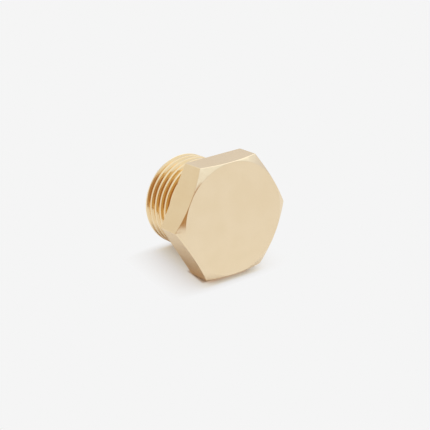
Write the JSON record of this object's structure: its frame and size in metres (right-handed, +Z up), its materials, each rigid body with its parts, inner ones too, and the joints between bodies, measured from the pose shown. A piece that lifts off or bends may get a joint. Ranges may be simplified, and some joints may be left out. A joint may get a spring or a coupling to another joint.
{
  "type": "blanking bolt",
  "caption": "Solid brass blanking bolt with a chamfered hexagon head and a short parallel-threaded shank, screwed into a threaded port to close it off.",
  "frame": {"origin": "where the bolt's own axis meets the seat under its head", "axes": "+Z is up as the bolt lies at rest on its side. The thread points along +Y and dips by 11.5 degrees to the ground, and +X runs across two corners of the hexagon."},
  "size_m": [0.03, 0.024, 0.0268],
  "materials": {
    "brass": "bare brass as turned, satin on the faces and brighter on the thread"
  },
  "bodies": {
    "root": {"blanking_bolt": "brass"}
  },
  "joints": []
}
